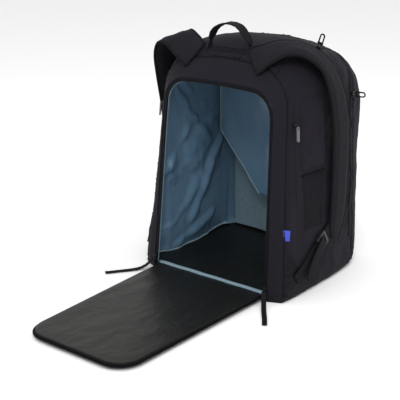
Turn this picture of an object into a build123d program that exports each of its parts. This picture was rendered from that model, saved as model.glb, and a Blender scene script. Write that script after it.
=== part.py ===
from build123d import *

import math
import os

# Ski boot bag: a backpack whose whole back panel unzips and folds down as a changing mat.
#
# Frame: origin at the middle of the flat base, on the floor.  +X is the bag's right side seen from the
# open door, +Y runs from the door to the far side, +Z is up.  All lengths are millimetres.
# The rest pose is the open bag: the door lies flat on the floor in front of the opening.

os.makedirs("parts", exist_ok=True)

# ---------------------------------------------------------------- driving dimensions
DEPTH = 350.0  # door opening to far side
Y_HINGE = -DEPTH / 2  # hinge line of the door, on the upper side of the base
Z_FLOOR = 12.0  # upper side of the padded base, level with the hinge
LEAN = 4.0  # the door opening leans back, in degrees

SKIN = 1.4  # outer fabric
FOAM = 2.4  # foam sheet behind it
LINING = 1.0  # inner fabric
TAPE = 1.0  # zip tape and sewn-on webbing
COIL = 1.3  # zip coil on its tape
WALL = SKIN + FOAM + LINING
GAP = 0.5  # between pieces that move past each other
SIDE_SLIDER_CLEAR = 0.8  # extra rise of a side slider, because it runs straight past a bowed side

Z_BASE_SEAM = 12.0
X_TOP_SEAM = 118.0  # seam between the top and a side
Y_FRONT_SEAM = 95.0  # seam between a side and the far panel
LID_ZIP_Y = 30.0  # the top zip runs over the crown in this plane
FRONT_ZIP_Y = 89.0  # the far compartment's zip runs in this plane
SIDE_ZIP_Y = Y_HINGE + 61.0  # the side zips stand in this plane
BACK_WALL_Y = 140.0  # wall between the boot space and the far compartment

CROWN_HALF, CROWN_SIDE, CROWN_RISE = 166.0, 457.0, 38.0  # the bag across the top zip
CROWN_R = (CROWN_HALF**2 + CROWN_RISE**2) / (2 * CROWN_RISE)
CROWN_Z = CROWN_SIDE + CROWN_RISE - CROWN_R  # centre of the crown's arc

# Outlines across the bag, from the door to the far side:
# y at the floor from the hinge, lean, half width low, half width high, side height, crown, low radius,
# high radius, lowest point
OUTLINES = [
    (-0.3, LEAN, 147.0, 134.0, 418.0, 6.0, 4.0, 54.0, 0.0),
    (12.0, 5.4, 178.0, 147.0, 446.0, 22.0, 9.0, 60.0, 0.0),
    (50.0, 3.6, 184.0, 158.0, 458.0, 28.0, 12.0, 58.0, 0.0),
    (112.0, 1.6, 186.0, 165.0, 464.0, 34.0, 14.0, 56.0, 0.0),
    (LID_ZIP_Y - Y_HINGE, 0.0, 187.0, CROWN_HALF, CROWN_SIDE, CROWN_RISE, 16.0, 44.0, 0.0),
    (270.0, 1.2, 182.0, 162.0, 441.0, 35.0, 22.0, 50.0, 0.0),
    (316.0, 2.0, 164.0, 147.0, 412.0, 28.0, 34.0, 56.0, 4.0),
    (344.0, 1.0, 136.0, 118.0, 366.0, 16.0, 40.0, 50.0, 36.0),
]
DOOR = (0.0, 0.0, 137.0, 124.0, 399.0, 4.5, 6.0, 48.0, 0.0)

FRAME_DROP = 0.68  # the frame band faces the door, so its layers lie behind each other by this share

STRAP_HALF = 31.0  # half width of a shoulder strap
STRAP_THICK = 12.0
STRAP_COVER = 1.2
WEBBING = 25.0  # width of the carrying webbing
HANDLE_Y = 74.0  # the handle stands this far behind the hinge line
HANDLE_WIDTH = 22.0
HANDLE_ROOT = 9.0  # the handle's webbing is folded narrow where it is sewn in, so it can tip over
# Each strap, from the seam it is sewn into to its tapered end: centre, direction across, half width,
# thickness.  The right one drapes back over the shoulder of the bag, the left one hangs further forward.
STRAP_RIGHT = [
    ((66, 52, 467), (1.0, 0.0, -0.14), 31, 4),
    ((90, 64, 482), (0.94, -0.30, -0.20), 31, 9),
    ((117, 86, 495), (0.80, -0.52, -0.26), STRAP_HALF, STRAP_THICK),
    ((147, 112, 489), (0.55, -0.72, -0.25), STRAP_HALF, STRAP_THICK),
    ((174, 142, 460), (0.30, -0.90, -0.15), STRAP_HALF, STRAP_THICK),
    ((188, 166, 408), (0.12, -0.98, -0.06), STRAP_HALF, STRAP_THICK),
    ((193, 182, 342), (0.02, -1.0, -0.02), STRAP_HALF, STRAP_THICK),
    ((193, 189, 260), (0.0, -1.0, 0.0), STRAP_HALF, STRAP_THICK),
    ((193, 188, 176), (0.0, -1.0, 0.0), 30, STRAP_THICK),
    ((192, 185, 128), (0.0, -1.0, 0.0), 27, 10),
    ((191, 180, 98), (0.0, -1.0, 0.0), 15, 8),
]
STRAP_LEFT = [
    ((-76, 52, 465), (-1.0, 0.0, -0.16), 31, 4),
    ((-104, 62, 479), (-0.95, -0.22, -0.22), 31, 9),
    ((-134, 72, 490), (-0.86, -0.42, -0.30), STRAP_HALF, STRAP_THICK),
    ((-164, 82, 482), (-0.62, -0.72, -0.30), STRAP_HALF, STRAP_THICK),
    ((-186, 94, 452), (-0.30, -0.92, -0.15), STRAP_HALF, STRAP_THICK),
    ((-194, 106, 404), (-0.12, -0.98, -0.06), STRAP_HALF, STRAP_THICK),
    ((-196, 118, 342), (-0.02, -1.0, -0.02), STRAP_HALF, STRAP_THICK),
    ((-195, 128, 260), (0.0, -1.0, 0.0), STRAP_HALF, STRAP_THICK),
    ((-194, 136, 176), (0.0, -1.0, 0.0), 30, STRAP_THICK),
    ((-192, 140, 128), (0.0, -1.0, 0.0), 27, 10),
    ((-191, 142, 98), (0.0, -1.0, 0.0), 15, 8),
]


# ---------------------------------------------------------------- helpers
def outline_plane(y, lean):
    """The plane of an outline: through y at the floor, leaning back, its normal towards the door."""
    a = math.radians(lean)
    return Plane(origin=(0, Y_HINGE + y, 0), x_dir=(1, 0, 0), z_dir=(0, -math.cos(a), math.sin(a)))


def outline(spec, inset=0.0):
    """One outline as a flat face in its own plane, drawn in by inset."""
    low, high, side, crown, r_low, r_high, bottom = spec[2:]
    low = low - inset
    high = high - inset
    side = side - inset
    bottom = bottom + inset
    edges = [
        Line((low, bottom), (high, side)),
        ThreePointArc((high, side), (0, side + crown), (-high, side)),
        Line((-high, side), (-low, bottom)),
        Line((-low, bottom), (low, bottom)),
    ]
    face = make_face(edges)
    face = fillet(face.vertices().sort_by(Axis.Y)[:2], max(r_low - inset, 2.0))
    shoulders = [v for v in face.vertices() if abs(v.Y - side) < 0.01 and abs(abs(v.X) - high) < 0.01]
    return fillet(shoulders, r_high - inset)


def body(inset):
    """The bag's whole form as a solid, drawn in by inset; inner forms reach out through the opening."""
    first, frame_seam, last = OUTLINES[0], OUTLINES[1], OUTLINES[-1]
    places = [(spec, spec[0]) for spec in OUTLINES]
    places[1] = (frame_seam, frame_seam[0] + FRAME_DROP * inset)
    places[-1] = (last, last[0] - inset)
    if inset > 0:
        places.insert(0, (first, first[0] - 4.0))
    wires = [(outline_plane(y, s[1]) * outline(s, inset)).face().outer_wire() for s, y in places]
    return Solid.make_loft(wires, True)


def box(x0, x1, y0, y1, z0, z1):
    """An upright box between two corners; y is measured from the hinge line."""
    middle = Pos((x0 + x1) / 2, Y_HINGE + (y0 + y1) / 2, (z0 + z1) / 2)
    return middle * Box(x1 - x0, y1 - y0, z1 - z0)


def before(y, lean):
    """Everything on the door side of an outline's plane."""
    return outline_plane(y, lean) * Pos(0, 200, 200) * Box(900, 1400, 400)


def layer(outer, inner, keep, drop=()):
    """The part of one wall layer that lies in every kept region and in no dropped one."""
    piece = outer
    for region in keep:
        piece = piece & region
    for region in drop:
        piece = piece - region
    return piece - inner - OUTSIDE_DOOR


def mirrored(shape):
    return mirror(shape, Plane.YZ)


def export(shape, name):
    """Write one node; several solids stay separate in it."""
    solids = list(shape.solids()) if not isinstance(shape, list) else shape
    solids = [s for item in solids for s in item.solids()]
    print(name, len(solids), round(sum(s.volume for s in solids)))
    export_step(Compound(children=solids) if len(solids) > 1 else solids[0], f"parts/{name}.step")


def pair(shape, name):
    """Write a right-hand piece and its mirror image as two nodes."""
    export(shape, name + "_right")
    export(mirrored(shape), name + "_left")


def skin_at(y, z):
    """Point on the right side of the bag and its outward normal; y from the hinge line."""
    hit = FORM.find_intersection_points(Axis((400, Y_HINGE + y, z), (-1, 0, 0)))
    point, normal = max(hit, key=lambda h: h[0].X)
    return point, normal


def placed(point, outward, along):
    """A location with Z outward and Y along the zip."""
    across = Vector(*along).cross(Vector(*outward))
    return Location(Plane(origin=point, x_dir=across, z_dir=outward))


def ribbon(path, widths, thick, across):
    """A flat webbing strip through the points, as wide at each point as the list says."""
    wires = []
    points = [Vector(*p) for p in path]
    for i, p in enumerate(points):
        tangent = points[min(i + 1, len(points) - 1)] - points[max(i - 1, 0)]
        plane = Plane(origin=p, x_dir=across, z_dir=tangent)
        wires.append((plane * Rectangle(widths[i], thick)).face().outer_wire())
    return Solid.make_loft(wires)


def slider(size=1.0):
    """Zip slider: a waisted body with a bridge for the pull, Y along the zip, Z outward."""
    shell = Pos(0, 0, 2.3) * Box(8.4, 11, 4.6)
    shell = fillet(shell.edges().filter_by(Axis.Z), 2.6)
    shell = chamfer(shell.faces().sort_by(Axis.Z)[-1].edges(), 0.8)
    bridge = Pos(0, 0, 4.6) * Rot(0, 90, 0) * (Cylinder(3.4, 2.4) - Cylinder(2.2, 3.0))
    bridge = bridge & (Pos(0, 0, 10) * Box(20, 20, 11.4))
    return scale(shell + bridge, size)


# ---------------------------------------------------------------- the bag's walls
FORM = body(0)
under_skin = body(SKIN)
under_foam = body(SKIN + FOAM)
inside = body(WALL)
raised_tape = body(-TAPE)
raised_coil = body(-TAPE - COIL)

OUTSIDE_DOOR = before(OUTLINES[0][0], LEAN)
frame_side = before(OUTLINES[1][0], OUTLINES[1][1])
above_base = box(-300, 300, -50, 400, Z_BASE_SEAM, 600)
far_side = box(-300, 300, Y_FRONT_SEAM - Y_HINGE, 500, Z_BASE_SEAM, 600)
middle = box(-X_TOP_SEAM, X_TOP_SEAM, -50, 500, 200, 600)
right_half = box(0, 300, -50, 500, -50, 600)

below_seam = box(-300, 300, -50, 400, -10, Z_BASE_SEAM)
export(layer(FORM, under_skin, [below_seam]), "base_panel")
export(layer(FORM, under_skin, [above_base, frame_side]), "frame_band")
export(layer(FORM, under_skin, [far_side]), "front_panel")
export(layer(FORM, under_skin, [middle], [frame_side, far_side]), "top_panel")
pair(layer(FORM, under_skin, [above_base, right_half], [frame_side, far_side, middle]), "side_panel")

TRAY = 1.5  # floor tray thickness
tray_low = Z_FLOOR - TRAY
export((under_skin & box(-300, 300, -50, 400, 0, tray_low)) - OUTSIDE_DOOR, "base_pad")
export((under_foam & box(-300, 300, -50, 400, tray_low, Z_FLOOR)) - OUTSIDE_DOOR, "floor_tray")
above_pad = box(-300, 300, -50, 400, tray_low, 600)
far_foam = box(-300, 300, Y_FRONT_SEAM - Y_HINGE, 500, tray_low, 600)
top_foam = layer(under_skin, under_foam, [middle], [far_foam])
front_foam = layer(under_skin, under_foam, [far_foam])
side_foam = layer(under_skin, under_foam, [above_pad, right_half], [far_foam, middle])
export([top_foam, front_foam], "wall_foam")
pair(side_foam, "side_foam")

ahead_of_wall = box(-300, 300, -50, BACK_WALL_Y - Y_HINGE, Z_FLOOR, 600)
behind_wall = box(-300, 300, BACK_WALL_Y - Y_HINGE, 500, Z_FLOOR, 600)
export(layer(under_foam, inside, [ahead_of_wall, middle]), "lining_top")
pair(layer(under_foam, inside, [ahead_of_wall, right_half], [middle]), "lining")
export(layer(under_foam, inside, [behind_wall]), "front_lining")
wall_y = BACK_WALL_Y - Y_HINGE
export(inside & box(-300, 300, wall_y - 1.2, wall_y, Z_FLOOR, 600), "lining_back")

# ---------------------------------------------------------------- inside the boot space
FACING = 22.0  # width of the facing strip inside the opening
HEM = 5.0  # bound hem at the foot of the lining
near_opening = before(OUTLINES[0][0] + FACING, LEAN)
above_hem = box(-300, 300, -50, 90, Z_FLOOR + HEM, 600)
export(layer(inside, body(WALL + 1.0), [near_opening, above_hem]), "facing_strip")
along_floor = box(-300, 300, 24, wall_y - 1.2, Z_FLOOR, Z_FLOOR + HEM)
export(layer(inside, body(WALL + 3.0), [along_floor]), "lining_hem")

DIVIDER_Y = 240.0
divider_edge = [(-152, 440), (-152, 252), (-40, 120), (120, 120), (178, 120), (178, 600), (-152, 600)]
divider_plane = Plane(origin=(0, Y_HINGE + DIVIDER_Y, 0), x_dir=(1, 0, 0), z_dir=(0, -1, 0))
divider = extrude(divider_plane * make_face(Polyline(divider_edge, close=True)), -1.2)
export(divider & inside, "divider")
POCKET_Y = wall_y - 6.0
pocket = inside & box(-300, 120, POCKET_Y, POCKET_Y + 1.2, Z_FLOOR + HEM + 1, 190)
export(pocket, "mesh_pocket")

# ---------------------------------------------------------------- seams, zips and tapes on the outside
ring = outline_plane(OUTLINES[1][0], OUTLINES[1][1]) * outline(OUTLINES[1])
ring_edge = ring.face().outer_wire()
start = ring_edge.location_at(0.0)
bead = sweep(start * Circle(2.2), path=ring_edge)
export((bead - FORM) & box(-300, 300, -50, 200, Z_BASE_SEAM, 600), "frame_piping")

above_hinge = box(-300, 300, -50, 200, Z_FLOOR + 1.5, 600)
opening = outline_plane(OUTLINES[0][0], LEAN)
tape_ring = outline(OUTLINES[0], 0.6) - outline(OUTLINES[0], 7.4)
export(opening * extrude(tape_ring, TAPE) & above_hinge, "frame_zip_tape")
coil_ring = outline(OUTLINES[0], 4.2) - outline(OUTLINES[0], 7.2)
export(opening * Pos(0, 0, TAPE) * extrude(coil_ring, COIL) & above_hinge, "frame_zip_coil")


def zip_pair(y, half, limits):
    """Tape and coil lying on the bag in the plane y, between two heights."""
    tape = layer(raised_tape, FORM, [box(-300, 300, y - half, y + half, *limits)])
    coil = layer(raised_coil, raised_tape, [box(-300, 300, y - 2.2, y + 2.2, limits[0] + 2, limits[1])])
    return tape, coil


lid_y = LID_ZIP_Y - Y_HINGE
front_y = FRONT_ZIP_Y - Y_HINGE
side_y = SIDE_ZIP_Y - Y_HINGE
lid_tape, lid_coil = zip_pair(lid_y, 9.0, (408, 600))
front_tape, front_coil = zip_pair(front_y, 9.0, (70, 600))
side_tape, side_coil = zip_pair(side_y, 6.0, (80, 388))
little_tape = layer(raised_tape, FORM, [box(-44, 44, 60, 74, 300, 600)])
little_coil = layer(raised_coil, raised_tape, [box(-42, 42, 65, 69, 300, 600)])
export(lid_tape, "lid_zip_tape")
export(front_tape, "front_zip_tape")
export([side_tape, little_tape], "side_zip_tapes")
export([lid_coil, front_coil, side_coil, little_coil], "zip_coils")

hinge_roll = Pos(0, Y_HINGE + 7, Z_FLOOR) * Rot(0, 90, 0) * Cylinder(5, 274)
export(hinge_roll & box(-200, 200, 0, 50, Z_FLOOR, 60), "hinge_strip")

# ---------------------------------------------------------------- door, lying open on the floor
door_at = Plane(origin=(0, Y_HINGE - 1.0, 0), x_dir=(1, 0, 0), z_dir=(0, 0, -1))


def door_layer(inset, z0, z1):
    """A layer of the door between two heights while it lies open."""
    return door_at * Pos(0, 0, -z1) * extrude(outline(DOOR, inset), z1 - z0)


export(door_layer(3.2, 10.5, Z_FLOOR), "door_mat")
export(door_layer(3.2, 5.4, 10.5), "door_foam")
export(door_layer(3.2, 4.0, 5.4), "door_outer_panel")
export(door_layer(0.4, 5.0, Z_FLOOR) - door_layer(3.2, 0, 20), "door_binding")
door_tape = door_layer(-1.8, 7.5, 8.5) - door_layer(0.4, 0, 20)
export(door_tape & box(-300, 300, -600, -1.0, 0, 20), "door_zip_tape")
pads = door_layer(16, 0, 4.0)
pads = pads - box(-14, 14, -600, 0, -5, 10)
pads = pads - box(-300, 300, -150, -130, -5, 10)
export(pads, "door_back_pads")

# ---------------------------------------------------------------- sliders and pulls
SLIDER_RISE = TAPE + COIL + GAP
edge_lean = math.atan2(OUTLINES[0][2] - OUTLINES[0][3], OUTLINES[0][4])
SLIDER_UP = 26.0  # height of a door slider along the leaning opening
slider_x = OUTLINES[0][2] - 3.4 - SLIDER_UP * math.tan(edge_lean)
door_slider_at = opening * Pos(slider_x, SLIDER_UP, SLIDER_RISE) * Rot(0, 0, math.degrees(edge_lean))
door_slider = door_slider_at * slider(0.9)
pair(door_slider, "door_slider")
pull_path = [(147, -11, 25), (151, -17, 13), (160, -30, 4.5), (172, -47, 2.4), (190, -71, 2.4), (206, -94, 2.4)]
pull_path = [(x, Y_HINGE + y, z) for x, y, z in pull_path]
pair(ribbon(pull_path, [10] * len(pull_path), 2.0, (0.82, 0.57, 0)), "door_pull")

lid_x = 120.0
lid_angle = math.asin(lid_x / CROWN_R)
lid_point = (lid_x, LID_ZIP_Y, CROWN_Z + CROWN_R * math.cos(lid_angle))
lid_out = Vector(math.sin(lid_angle), 0, math.cos(lid_angle))
lid_at = placed(lid_point, lid_out, (math.cos(lid_angle), 0, -math.sin(lid_angle)))
export(lid_at * Pos(0, 0, SLIDER_RISE) * slider(), "lid_slider")


def cord_loop(at, reach, spread):
    """A loop of cord knotted through a slider's bridge, standing outward."""
    path = [(0, -spread / 2, 10), (0, -spread / 2, reach - spread / 2)]
    legs = [
        Line((0, -spread / 2, 10), (0, -spread / 2, reach - spread / 2)),
        ThreePointArc(path[1], (0, 0, reach), (0, spread / 2, reach - spread / 2)),
        Line((0, spread / 2, reach - spread / 2), (0, spread / 2, 10)),
    ]
    wire = Wire(legs)
    cord = sweep(Plane(origin=path[0], z_dir=(0, 0, 1)) * Circle(1.5), path=wire)
    knot = Pos(0, 0, 10.8) * fillet((Box(5, spread + 4, 4.2)).edges(), 1.8)
    return at * Pos(0, 0, SLIDER_RISE) * (cord + knot)


export(cord_loop(lid_at, 30, 9), "lid_loop")

front_point, front_out = skin_at(front_y, 380)
front_at = placed(front_point, front_out, (0, 0, 1))
export(front_at * Pos(0, 0, SLIDER_RISE) * slider(), "front_slider")
export(cord_loop(front_at, 30, 9), "front_loop")

side_point, side_out = skin_at(side_y, 352)
side_at = placed(side_point, side_out, (0, 0, 1))
side_rise = SLIDER_RISE + SIDE_SLIDER_CLEAR
pair(side_at * Pos(0, 0, side_rise) * slider(), "side_slider")
PULL_PIVOT = 9.4  # the pull turns this far above the slider's foot
tab = Pos(0, -14.7, 0) * fillet(Box(6, 30, 2.2).edges().filter_by(Axis.Z), 2.6)
tab = tab - Pos(0, -3.5, 0) * Box(2.6, 4, 5)
pair(side_at * Pos(0, 0, side_rise + PULL_PIVOT) * tab, "side_pull")

# ---------------------------------------------------------------- handle
handle_path = [(-54, 490), (-48, 508), (-29, 526), (-3, 533), (23, 526), (40, 508), (45, 490)]
handle_path = [(x, Y_HINGE + HANDLE_Y, z) for x, z in handle_path]
handle_widths = [HANDLE_ROOT] + [HANDLE_WIDTH] * 5 + [HANDLE_ROOT]
export(ribbon(handle_path, handle_widths, 4.0, (0, 1, 0)), "grab_handle")


# ---------------------------------------------------------------- shoulder straps
def strap(path, shrink):
    """A shoulder strap's outer form, or its padding when shrunk."""
    wires = []
    points = [Vector(x, Y_HINGE + y, z) for (x, y, z), _, _, _ in path]
    last = len(points) - 1
    for i, (_, across, half, thick) in enumerate(path):
        tangent = (points[min(i + 1, last)] - points[max(i - 1, 0)]).normalized()
        at = points[i]
        if i == 0:
            at = at + tangent * (3 * shrink)
        if i == last:
            at = at - tangent * (3 * shrink)
        side = Vector(*across)
        side = side - tangent * side.dot(tangent)
        shape = RectangleRounded(2 * (half - shrink), thick - 2 * shrink, 0.42 * (thick - 2 * shrink))
        wires.append((Plane(origin=at, x_dir=side, z_dir=tangent) * shape).face().outer_wire())
    return Solid.make_loft(wires, True)


LOCK_AHEAD = 49.0  # the ladder lock hangs this far ahead of the strap's end
LOCK_UP = 4.0
LOCK_TURN = 34.0  # the lower webbing climbs at this angle
lock_frame = Box(30, 34, 6) - Pos(7.2, 0, 0) * Box(4.6, 26, 10) - Pos(-6.4, 0, 0) * Box(5.6, 26, 10)
lock_frame = fillet(lock_frame.edges().filter_by(Axis.Z).group_by(Axis.X)[0], 2.0)
lock_frame = fillet(lock_frame.edges().filter_by(Axis.Z).group_by(Axis.X)[-1], 2.0)


def strap_parts(path, name):
    """Cover, padding, ladder lock and the short webbing that joins the lock to the strap's end."""
    side = math.copysign(1, path[0][0][0])
    x, y, z = path[-1][0]
    whole = strap(path, 0)
    padding = strap(path, STRAP_COVER)
    export(whole - padding, "strap_cover_" + name)
    export(padding, "strap_foam_" + name)
    climb = math.radians(LOCK_TURN)
    along = (0, math.cos(climb), math.sin(climb))
    centre = (x, Y_HINGE + y - LOCK_AHEAD, z + LOCK_UP)
    at = Plane(origin=centre, x_dir=along, z_dir=(side, 0, 0))
    export(at * lock_frame, "ladder_lock_" + name)
    tail = at * Pos(30, 0, 0) * Box(30, 24, 2.0) - whole
    export(max(tail.solids(), key=lambda s: s.volume), "strap_tail_" + name)
    start = Vector(side * 187.6, Y_HINGE + 46, 41)
    end = Vector(*centre) - Vector(*along) * 21.0
    middle_point = (start + end) * 0.5 + Vector(side * 0.8, 0, 0)
    points = [(p.X, p.Y, p.Z) for p in (start, middle_point, end)]
    return ribbon(points, [WEBBING] * 3, 1.8, (0, -along[2], along[1])) - raised_tape


webbing_right = strap_parts(STRAP_RIGHT, "right")
webbing_left = strap_parts(STRAP_LEFT, "left")

# ---------------------------------------------------------------- lower webbing, corner tabs, label
tab_outline = [(3, 14), (9, 120), (66, 54), (62, 34)]
tab_plane = Plane(origin=(0, Y_HINGE, 0), x_dir=(0, 1, 0), z_dir=(1, 0, 0))
tab_prism = extrude(tab_plane * make_face(Polyline(tab_outline, close=True)), 300)
seam_clear = before(OUTLINES[1][0] + 2.6, OUTLINES[1][1])
corner_tab = layer(raised_tape, FORM, [tab_prism, above_base], [seam_clear])
corner_tab = max(corner_tab.solids(), key=lambda s: s.volume)
export([corner_tab, mirrored(corner_tab)], "corner_tabs")
export([webbing_right, webbing_left], "lower_webbings")
export(layer(raised_tape, FORM, [box(0, 300, 16, 40, 128, 150)], [seam_clear]), "side_label")


# ---------------------------------------------------------------- side pockets
def patch(outset, y0, y1, z0, z1, radius):
    """A raised, rounded panel on both sides of the bag."""
    sheet = Rectangle(y1 - y0, z1 - z0)
    sheet = fillet(sheet.vertices(), radius)
    plane = Plane(origin=(-300, Y_HINGE + (y0 + y1) / 2, (z0 + z1) / 2), x_dir=(0, 1, 0), z_dir=(1, 0, 0))
    return layer(body(-outset), FORM, [extrude(plane * sheet, 600)])


export(patch(6.0, 70, 150, 256, 404, 16), "side_pockets")
export(patch(4.0, 72, 148, 132, 250, 12), "stretch_pockets")
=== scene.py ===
"""Ski boot bag: the looks. Soft pieces are shaped here round the CAD frame; hard pieces stay from CAD."""

import math

import bmesh
import bpy
import numpy as np
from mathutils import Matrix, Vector, noise


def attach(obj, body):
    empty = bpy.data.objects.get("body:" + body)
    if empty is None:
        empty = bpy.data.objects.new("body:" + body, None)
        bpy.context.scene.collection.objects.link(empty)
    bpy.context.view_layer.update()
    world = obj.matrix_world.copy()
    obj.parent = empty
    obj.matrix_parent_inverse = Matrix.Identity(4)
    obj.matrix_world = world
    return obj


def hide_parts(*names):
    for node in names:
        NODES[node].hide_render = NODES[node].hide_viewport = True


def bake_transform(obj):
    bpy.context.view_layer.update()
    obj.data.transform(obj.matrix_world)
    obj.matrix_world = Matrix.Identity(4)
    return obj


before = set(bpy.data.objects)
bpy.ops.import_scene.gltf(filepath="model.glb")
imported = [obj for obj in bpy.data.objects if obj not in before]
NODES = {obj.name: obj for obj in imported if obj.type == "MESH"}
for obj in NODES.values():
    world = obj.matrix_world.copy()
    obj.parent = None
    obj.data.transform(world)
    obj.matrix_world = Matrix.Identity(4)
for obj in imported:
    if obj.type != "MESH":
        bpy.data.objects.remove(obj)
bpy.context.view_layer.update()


# ---- sizes in metres
YH = -0.175  # hinge line
LEAN = math.radians(4)
# y from the hinge, lean, half width low and high, side height, crown, low and high radius, lowest point
OUTLINES = np.array(
    [
        (-0.0003, 4.0, 0.147, 0.134, 0.418, 0.006, 0.004, 0.054, 0.0),
        (0.012, 5.4, 0.178, 0.147, 0.446, 0.022, 0.009, 0.060, 0.0),
        (0.050, 3.6, 0.184, 0.158, 0.458, 0.028, 0.012, 0.058, 0.0),
        (0.112, 1.6, 0.186, 0.165, 0.464, 0.034, 0.014, 0.056, 0.0),
        (0.205, 0.0, 0.187, 0.166, 0.457, 0.038, 0.016, 0.044, 0.0),
        (0.270, 1.2, 0.182, 0.162, 0.441, 0.035, 0.022, 0.050, 0.0),
        (0.316, 2.0, 0.164, 0.147, 0.412, 0.028, 0.034, 0.056, 0.004),
        (0.344, 1.0, 0.136, 0.118, 0.366, 0.016, 0.040, 0.050, 0.036),
    ]
)
PATH_STEP = 0.004  # between points of a seam, tape or webbing
SEAM_Y = 0.270  # from here on these y values count from the hinge line
LID_ZIP_Y, FRONT_ZIP_Y, SIDE_ZIP_Y, TOP_ZIP_Y = 0.205, 0.264, 0.061, 0.067
HANDLE_Y = 0.074
TAPE_LIFT = 0.0006  # a zip tape above the cloth
COIL_LIFT = 0.0008  # a coil above its tape
LID_ZIP_LOW, FRONT_ZIP_LOW = 0.408, 0.070  # height at which each zip ends
TOP_X = 0.118  # half width of the top panel
SIDES = ((1, "right"), (-1, "left"))
SEGMENTS = (16, 6, 96, 18, 78, 18, 96, 6, 16)  # points round an outline: base, corners, sides, crown


# ---- camera
def place_object(name, data, place=None, towards=None):
    """Adds an object to the scene, at a place and looking towards another if they are given."""
    obj = bpy.data.objects.new(name, data)
    bpy.context.scene.collection.objects.link(obj)
    if place:
        obj.location = place
        obj.rotation_euler = (Vector(towards) - Vector(place)).to_track_quat("-Z", "Y").to_euler()
    return obj


CAMERA_AT, CAMERA_AIM = (1.1674, -1.699, 0.8409), (-0.0227, YH, 0.1795)
camera = place_object("camera", bpy.data.cameras.new("camera"), CAMERA_AT, CAMERA_AIM)
camera.data.lens = 90
camera.data.clip_end = 20
bpy.context.scene.camera = camera


# ---- materials
def noise_texture(tree, place, scale, detail, distortion=0.0):
    node = tree.nodes.new("ShaderNodeTexNoise")
    node.inputs["Scale"].default_value = scale
    node.inputs["Detail"].default_value = detail
    node.inputs["Distortion"].default_value = distortion
    tree.links.new(place.outputs["Object"], node.inputs["Vector"])
    return node


def relief_from(tree, texture, strength, distance):
    node = tree.nodes.new("ShaderNodeBump")
    node.inputs["Strength"].default_value = strength
    node.inputs["Distance"].default_value = distance
    tree.links.new(texture.outputs["Fac"], node.inputs["Height"])
    return node


def material(name, colour, rough=0.85, grain=900.0, bump=0.25, speckle=0.25, sheen=0.0, coat=0.0, metal=0.0,
             crease=0.0, gloss=0.10):
    """A fabric or plastic whose colour and surface vary at thread size."""
    m = bpy.data.materials.new(name)
    m.use_nodes = True
    tree = m.node_tree
    b = tree.nodes["Principled BSDF"]
    for socket, value in (("Roughness", rough), ("Metallic", metal), ("Sheen Weight", sheen),
                          ("Sheen Roughness", 0.5), ("Coat Weight", coat), ("Coat Roughness", 0.3),
                          ("Specular IOR Level", gloss)):
        b.inputs[socket].default_value = value
    place = tree.nodes.new("ShaderNodeTexCoord")
    grain_map = noise_texture(tree, place, grain, 2)
    ramp = tree.nodes.new("ShaderNodeValToRGB")
    for stop, position, shade in ((0, 0.35, 1 - speckle), (1, 0.65, 1 + speckle)):
        ramp.color_ramp.elements[stop].position = position
        ramp.color_ramp.elements[stop].color = (*[min(c * shade, 1) for c in colour], 1)
    tree.links.new(grain_map.outputs["Fac"], ramp.inputs["Fac"])
    tree.links.new(ramp.outputs["Color"], b.inputs["Base Color"])
    relief = relief_from(tree, grain_map, bump, 0.0004)
    if crease:
        soft = relief_from(tree, noise_texture(tree, place, 38, 5, 0.6), crease, 0.004)
        tree.links.new(soft.outputs["Normal"], relief.inputs["Normal"])
    tree.links.new(relief.outputs["Normal"], b.inputs["Normal"])
    return m


SHELL = material("shell", (0.0105, 0.0092, 0.0142), 0.82, 1100, 0.35, 0.28, sheen=0.02, crease=0.12)
BASE = material("base", (0.0080, 0.0075, 0.0095), 0.62, 700, 0.4, 0.25, crease=0.1)
TRIM = material("trim", (0.0050, 0.0046, 0.0062), 0.75, 900, 0.35, 0.3)
THREAD = material("thread", (0.021, 0.019, 0.026), 0.7, 900, 0.1, 0.1)
WEBBING = material("webbing", (0.0065, 0.0060, 0.0082), 0.72, 1500, 0.5, 0.35)
STRAP = material("strap", (0.0095, 0.0086, 0.0122), 0.84, 1200, 0.4, 0.3, sheen=0.02, crease=0.12)
MESH = material("airmesh", (0.0085, 0.0080, 0.0105), 0.9, 420, 0.9, 0.5)
# tarp: the near-black is the coated cloth's own colour; the slight warm tint in it is a painted reflection,
# not the cloth's tone
TARP = material("tarp", (0.0072, 0.0068, 0.0058), 0.38, 500, 0.18, 0.12, crease=0.30, gloss=0.22)
LINING = material("lining", (0.098, 0.178, 0.262), 0.27, 900, 0.12, 0.06, coat=0.22, crease=0.42, gloss=0.5)
HEATHER = material("heather", (0.150, 0.225, 0.270), 0.85, 700, 0.35, 0.30, sheen=0.1)
LIGHT_TAPE = material("light_tape", (0.185, 0.270, 0.315), 0.8, 900, 0.3, 0.14)
COIL = material("coil", (0.0050, 0.0050, 0.0055), 0.4, 600, 0.05, 0.05, gloss=0.3)
METAL = material("metal", (0.020, 0.020, 0.022), 0.35, 600, 0.02, 0.02, metal=0.7, gloss=0.4)
GREY = material("grey_pull", (0.115, 0.118, 0.128), 0.5, 600, 0.05, 0.03, gloss=0.3)
PLASTIC = material("plastic", (0.0090, 0.0090, 0.0100), 0.38, 600, 0.04, 0.03, gloss=0.4)
LABEL = material("label", (0.060, 0.080, 0.480), 0.75, 900, 0.3, 0.15)
STRETCH = material("stretch", (0.0080, 0.0074, 0.0100), 0.85, 800, 0.5, 0.35)


# ---- mesh helpers
def mesh_object(name, verts, faces, mat, body, thick=0.0, smooth=True):
    """A mesh piece riding on a body; body None leaves it free for a blend."""
    data = bpy.data.meshes.new(name)
    data.from_pydata([tuple(map(float, v)) for v in verts], [], [tuple(map(int, f)) for f in faces])
    data.validate()
    if smooth:
        data.shade_smooth()
    obj = place_object(name, data)
    data.materials.append(mat)
    if thick:
        solid = obj.modifiers.new("thickness", "SOLIDIFY")
        solid.thickness = thick
        solid.offset = -1
    if body:
        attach(obj, body)
    return obj


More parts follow.
